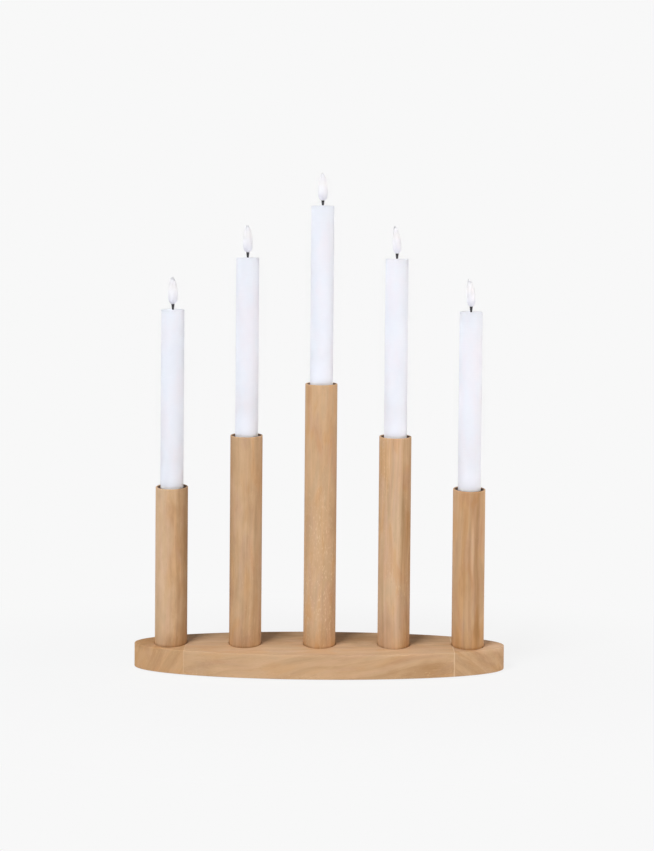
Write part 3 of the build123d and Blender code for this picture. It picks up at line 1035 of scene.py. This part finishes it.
@dataclass
class Columns:
    """Row of round wooden columns, each turned from its own stick of wood."""

    pitch: float = 71.25
    pith_distance: float = 90.0
    pith_climb: float = 37.0
    layer_span: float = 34.0
    foot_level: float = 23.6
    # Painted light: orange light bounced from the base onto each column's foot.
    foot_painted_bounce: float = 0.3
    # Painted highlight: the wood lighter near each column's rim.
    rim_painted_highlight: float = 0.05
    rim_reach: Point = (60.0, 60.0, 1.8)
    # Painted shade: a dark line where each column meets the base, and a soft darkening above the foot.
    foot_contact_shade: float = -0.17
    contact_reach: Point = (60.0, 60.0, 2.6)
    foot_shade: float = -0.025
    shade_reach: Point = (90.0, 90.0, 24.0)

    def timbers(self) -> list[Timber]:
        """Wood of each column.

        Returns:
            Woods from left to right.
        """
        # The layer tones hold each column's growth layers and also paint shade and light across its width,
        # darker on the right of the outer-left and inner-right columns.
        return [
            self.stick(
                Place.OUTER_LEFT, -24.0, (
                    (0.0, 0.6), (0.1, 0.76), (0.2, 0.66), (0.32, 0.53), (0.45, 0.56), (0.57, 0.4),
                    (0.7, 0.43), (0.82, 0.28), (1.0, 0.24),
                ),
                tone=-0.02, streak=0.6, mottle=2.4, blush=0.8, flecks=Flecks(0.15),
            ),
            self.stick(
                Place.INNER_LEFT, 12.0, (
                    (0.0, 0.3), (0.12, 0.34), (0.2, 0.48), (0.3, 0.48), (0.5, 0.6), (0.62, 0.48), (0.8, 0.46),
                    (1.0, 0.5),
                ),
                tone=-0.005, streak=0.9, mottle=1.5, flecks=Flecks(0.12),
            ),
            self.stick(
                Place.CENTRE, -15.0, ((0.0, 0.5), (0.3, 0.61), (0.55, 0.52), (0.8, 0.53), (1.0, 0.42)),
                tone=0.03, warmth=0.2, streak=0.5, mottle=1.5, blush=1.5,
                flecks=Flecks(0.52, high=215.0, fade=90.0, cover=0.7),
            ),
            self.stick(
                Place.INNER_RIGHT, 20.0, (
                    (0.0, 0.48), (0.15, 0.52), (0.24, 0.62), (0.34, 0.53), (0.48, 0.64), (0.62, 0.56),
                    (0.74, 0.79), (0.81, 0.44), (1.0, 0.32),
                ),
                tone=0.025, streak=1.3, blush=1.4, ring=0.05, flecks=Flecks(0.3),
                stains_and_shades=(
                    StainAndShade((66.0, -14.0, 46.0), (8.0, 12.0, 24.0), -0.16),
                    StainAndShade((74.4, -15.0, 118.0), (2.8, 10.0, 84.0), 0.16),
                    StainAndShade((64.4, -13.0, 172.0), (1.8, 10.0, 52.0), -0.16),
                    StainAndShade((78.6, -13.0, 160.0), (1.6, 10.0, 60.0), -0.12),
                ),
            ),
            self.stick(
                Place.OUTER_RIGHT, -8.0, (
                    (0.0, 0.54), (0.25, 0.56), (0.45, 0.49), (0.59, 0.45), (0.74, 0.37), (0.86, 0.53),
                    (1.0, 0.54),
                ),
                tone=-0.025, warmth=0.3, streak=0.9, blush=1.3,
                flecks=Flecks(0.35, low=60.0, high=150.0, cover=0.4),
                stains_and_shades=(
                    StainAndShade((149.0, -13.0, 46.0), (8.0, 10.0, 24.0), -0.14),
                    StainAndShade((144.4, -15.0, 120.0), (2.4, 8.0, 38.0), 0.24),
                ),
            ),
        ]

    def stick(self, place: Place, tilt: float, layers: Layers, stains_and_shades: tuple[StainAndShade, ...] = (),
              **looks: object) -> Timber:
        """Wood of one column, with its pith far off to the left, a painted highlight at the rim and painted
        shade at and above the foot.

        Args:
            place: Place of the column.
            tilt: Direction of the pith, in degrees behind -X.
            layers: Tones across the column from left to right: its growth layers, with painted shade and
                light across its width.
            stains_and_shades: Patches besides those of the rim and foot.
            looks: Other fields of the wood.

        Returns:
            Wood.
        """
        far = self.pith_distance
        angle = math.radians(tilt)
        middle = place.step * self.pitch
        pith = (middle - far * math.cos(angle), far * math.sin(angle), self.pith_climb * place.step)
        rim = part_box(f"column_{place.value}")[1][2] / MM
        # Painted highlight at the rim, painted contact shade at the foot and painted shade above it.
        ends = (
            StainAndShade((middle, 0.0, rim), self.rim_reach, self.rim_painted_highlight),
            StainAndShade((middle, 0.0, self.foot_level), self.contact_reach, self.foot_contact_shade),
            StainAndShade((middle, 0.0, self.foot_level), self.shade_reach, self.foot_shade),
        )
        return Timber(f"{place.value}_wood", pith, ORIGIN, far, self.layer_span, layers,
                      foot_painted_bounce=self.foot_painted_bounce, stains_and_shades=ends + stains_and_shades, **looks)

    def dress(self) -> None:
        """Dress every column with its own wood."""
        for place, timber in zip(Place, self.timbers()):
            dress_node(f"column_{place.value}", timber.material())


@dataclass
class Candles:
    """Five battery taper candles: wax shell, flame, wick, tube, cells, cap, spring and switch."""

    wax_radius: float = 11.0 * MM
    wax_bore: float = 8.9 * MM
    wax_roof: float = 6.0 * MM
    wax_steps: int = 96
    wax_cuts: int = 36
    wick_hole: float = 1.05 * MM
    dish: float = 0.5 * MM
    dish_floor: float = 4.95 * MM
    dish_brim: float = 8.8 * MM
    top_edge: float = 0.9 * MM
    foot_edge: float = 0.4 * MM
    floor_edge: float = 1.2 * MM
    ripple: float = 0.12 * MM
    ripple_waves: Point = (60.0, 60.0, 14.0)
    ripple_shift: float = 9.0
    wall_share: float = 0.9
    top_share: float = 0.7

    def build_wax(self, place: Place, material: Material) -> None:
        """Build the wax of one candle: a dipped shell with a shallow dish round the wick.

        Args:
            place: Place of the candle.
            material: Wax.
        """
        low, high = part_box(f"wax_shell_{place.value}")
        foot, top = low[2], high[2]
        roof, dip = top - self.wax_roof, top - self.dish
        shell = spun((
            (self.wick_hole, roof), (self.wick_hole, dip), (self.dish_floor, dip), (self.dish_brim, top),
            (self.wax_radius, top), (self.wax_radius, foot), (self.wax_bore, foot), (self.wax_bore, roof),
        ), self.wax_steps)
        soften_ring(shell, (self.wax_radius, top), self.top_edge, segments=6)
        soften_ring(shell, (self.wax_radius, foot), self.foot_edge, segments=3)
        soften_ring(shell, (self.dish_floor, dip), self.floor_edge, segments=4)
        soften_ring(shell, (self.dish_brim, top), self.top_edge, segments=4)
        self.ripple_wall(shell, place, foot, top)
        climb = shell.verts.layers.float.new(CandleWax.climb)
        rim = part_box(f"column_{place.value}")[1][2]
        for vert in shell.verts:
            vert[climb] = (vert.co.z - rim) / MM
        bmesh.ops.translate(shell, verts=shell.verts[:], vec=(place.step * Columns.pitch * MM, 0.0, 0.0))
        finish_piece(f"wax_dipped_{place.value}", shell, material, f"candle_{place.value}",
                     f"wax_shell_{place.value}")

    def ripple_wall(self, shell: bmesh.types.BMesh, place: Place, foot: float, top: float) -> None:
        """Divide the outer wall of the wax and dent it slightly.

        Args:
            shell: Wax, on the Z axis.
            place: Place of the candle, which shifts the ripple.
            foot: Lowest level of the wax.
            top: Highest level of the wax.
        """
        mid_wall = (self.wax_radius + self.wax_bore) / 2.0
        uprights = [edge for edge in shell.edges if edge.calc_length() > (top - foot) / 2.0
                    and edge.verts[0].co.xy.length > mid_wall]
        bmesh.ops.subdivide_edges(shell, edges=uprights, cuts=self.wax_cuts, use_grid_fill=True)
        shift = Vector((0.0, 0.0, self.ripple_shift * place.step))
        for vert in shell.verts:
            on_top = vert.co.z > top - self.dish
            inner = self.wax_radius * (self.top_share if on_top else self.wall_share)
            if vert.co.xy.length > inner and vert.co.z > foot + 2.0 * self.foot_edge:
                wave = noise.noise(vert.co * Vector(self.ripple_waves) + shift)
                vert.co.xy *= 1.0 - self.ripple * (0.5 + 0.5 * wave) / self.wax_radius

    def finishes(self) -> dict[str, Material]:
        """Finishes that all the candles share.

        Returns:
            Kind of piece to material.
        """
        steel = SheetMetal("spring_steel", tint(206, 204, 198), tint(170, 168, 160), 1.0, 0.3)
        film = SheetMetal("battery_film", tint(58, 92, 74), tint(92, 120, 104), 0.0, 0.3)
        return {
            "wick": Moulding("wick_plastic", tint(46, 40, 46), tint(30, 26, 30), 0.6).material(),
            "battery_tube": Moulding("tube_plastic", tint(232, 232, 228), tint(222, 222, 218)).material(),
            "battery_cap": Moulding("cap_plastic", tint(236, 236, 234), tint(226, 226, 224)).material(),
            "slide_switch": Moulding("switch_plastic", tint(40, 40, 42), tint(30, 30, 32)).material(),
            "batteries": film.material(),
            "led_module": CircuitBoard().material(),
            "spring_contact": steel.material(),
        }

    def dress(self) -> None:
        """Build the wax of every candle, and dress its other pieces."""
        finishes = self.finishes()
        wax = CandleWax().material()
        for place in Place:
            self.build_wax(place, wax)
            for kind, material in finishes.items():
                dress_node(f"{kind}_{place.value}", material)
            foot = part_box(f"flame_{place.value}")[0][2] / MM
            dress_node(f"flame_{place.value}", FrostedFlame(f"flame_{place.value}_milk", foot).material())


# Studio, in metres


@dataclass(frozen=True)
class SoftLamp:
    """Square soft lamp that looks at the middle of the object.

    Attributes:
        name: Name of the lamp.
        place: Where it hangs.
        size: Width of its face.
        watts: Power.
        colour: Linear red, green and blue of its light.
    """

    name: str
    place: Point
    size: float
    watts: float
    colour: Point

    AIM = Vector((0.0, 0.0, 0.22))

    def hang(self) -> None:
        """Add the lamp to the scene."""
        data = bpy.data.lights.new(self.name, "AREA")
        data.shape = "SQUARE"
        data.size = self.size
        data.energy = self.watts
        data.color = self.colour
        lamp = bpy.data.objects.new(self.name, data)
        bpy.context.scene.collection.objects.link(lamp)
        lamp.location = self.place
        lamp.rotation_euler = (self.AIM - Vector(self.place)).to_track_quat("-Z", "Y").to_euler()


@dataclass
class Studio:
    """Pale floor, soft light and the camera."""

    backdrop: Colour = tint(248, 248, 248)
    paper: Colour = tint(246, 246, 246)
    sky: Colour = tint(250, 250, 253)
    camera_place: Point = (0.00446, -1.126, 0.4035)
    pitch: float = 1.17
    roll: float = 0.48
    lens: float = 49.89
    sensor: float = 36.0
    shift_up: float = -0.18
    near_clip: float = 0.01
    key: SoftLamp = SoftLamp("key_light", (-0.93, -1.11, 2.07), 0.85, 42.6, (0.97, 0.99, 1.02))
    fill: SoftLamp = SoftLamp("fill_light", (1.15, -0.45, 0.45), 0.9, 6.2, (1.05, 0.98, 0.92))
    horizon_light: float = 0.56
    zenith_light: float = 0.06
    side_dim: float = 0.5
    side_span: Span = (0.4, 1.0)
    backdrop_light: float = 0.45
    backdrop_span: Span = (0.3, 0.9)
    backdrop_height: Span = (0.1, 0.55)
    floor_radius: float = 12.0
    floor_steps: int = 64
    floor_lift: float = 0.9
    shade_shape: Point = (0.75, 1.6, 1.0)
    shade_fade: Span = (0.14, 0.4)

    def build(self) -> None:
        """Make the camera, floor, lamps and world."""
        self.add_camera()
        self.add_floor()
        self.key.hang()
        self.fill.hang()
        self.add_world()
        bpy.context.scene.view_settings.view_transform = "Standard"

    def add_camera(self) -> None:
        """Set the camera where the photograph was taken from."""
        data = bpy.data.cameras.new("camera")
        data.lens = self.lens
        data.sensor_width = self.sensor
        data.sensor_fit = "AUTO"
        data.shift_y = self.shift_up
        data.clip_start = self.near_clip
        camera = bpy.data.objects.new("camera", data)
        bpy.context.scene.collection.objects.link(camera)
        look = Euler((math.radians(90.0 - self.pitch), 0.0, 0.0)).to_matrix()
        turn = Matrix.Rotation(math.radians(self.roll), 3, "Z")
        camera.matrix_world = Matrix.Translation(self.camera_place) @ (look @ turn).to_4x4()
        bpy.context.scene.camera = camera

    def add_floor(self) -> None:
        """Lay a pale floor that keeps the shadow near the object and fades into the backdrop."""
        mesh = bmesh.new()
        bmesh.ops.create_circle(mesh, cap_ends=True, segments=self.floor_steps, radius=self.floor_radius)
        data = bpy.data.meshes.new("floor")
        mesh.to_mesh(data)
        mesh.free()
        floor = bpy.data.objects.new("floor", data)
        bpy.context.scene.collection.objects.link(floor)
        data.materials.append(self.floor_finish())

    def floor_finish(self) -> Material:
        """Build the floor's finish.

        Returns:
            Material that is matt near the object and has the backdrop's colour further out.
        """
        graph = FinishGraph("floor_paper")
        graph.dress(Base_Color=self.paper, Roughness=1.0, Specular_IOR_Level=0.0)
        seen = graph.seen()
        point = graph.vector_maths("MULTIPLY", graph.object_point(), self.shade_shape)
        far = graph.rise(graph.vector_maths("LENGTH", point), *self.shade_fade)
        shader = graph.surface.outputs["BSDF"]
        for share in (self.floor_lift, far):
            glow = graph.add("Emission", self.backdrop).outputs["Emission"]
            shader = graph.layered(graph.maths("MULTIPLY", seen, share), shader, glow)
        graph.fill(graph.output, Surface=shader)
        return graph.material

    def add_world(self) -> None:
        """Give soft light from all round, dimmer from above and the sides, with the backdrop behind."""
        world = bpy.data.worlds.new("studio")
        bpy.context.scene.world = world
        graph = ShaderGraph(world)
        way = graph.add("TexCoord").outputs["Generated"]
        upward = graph.axis(way, "Z")
        dome = graph.rise(upward, 0.0, 1.0, self.horizon_light, self.zenith_light, "LINEAR")
        aside = graph.maths("ABSOLUTE", graph.axis(way, "X"))
        sides = graph.rise(aside, *self.side_span, 1.0, 1.0 - self.side_dim)
        behind = graph.rise(graph.axis(way, "Y"), *self.backdrop_span, 0.0, self.backdrop_light)
        low = graph.rise(upward, *self.backdrop_height, 1.0, 0.0)
        glow = graph.maths("MULTIPLY", behind, low)
        strength = graph.maths("ADD", glow, graph.maths("MULTIPLY", dome, sides))
        light = graph.add("Background", self.sky, strength).outputs["Background"]
        shown = graph.add("Background", self.backdrop).outputs["Background"]
        graph.add("OutputWorld", graph.layered(graph.seen(), light, shown))


def main() -> None:
    """Build and dress every sub-assembly, then the studio round them."""
    logging.basicConfig(level=logging.INFO, format="%(name)s: %(message)s")
    Base().dress()
    Columns().dress()
    Candles().dress()
    Studio().build()


if __name__ == "__main__":
    main()
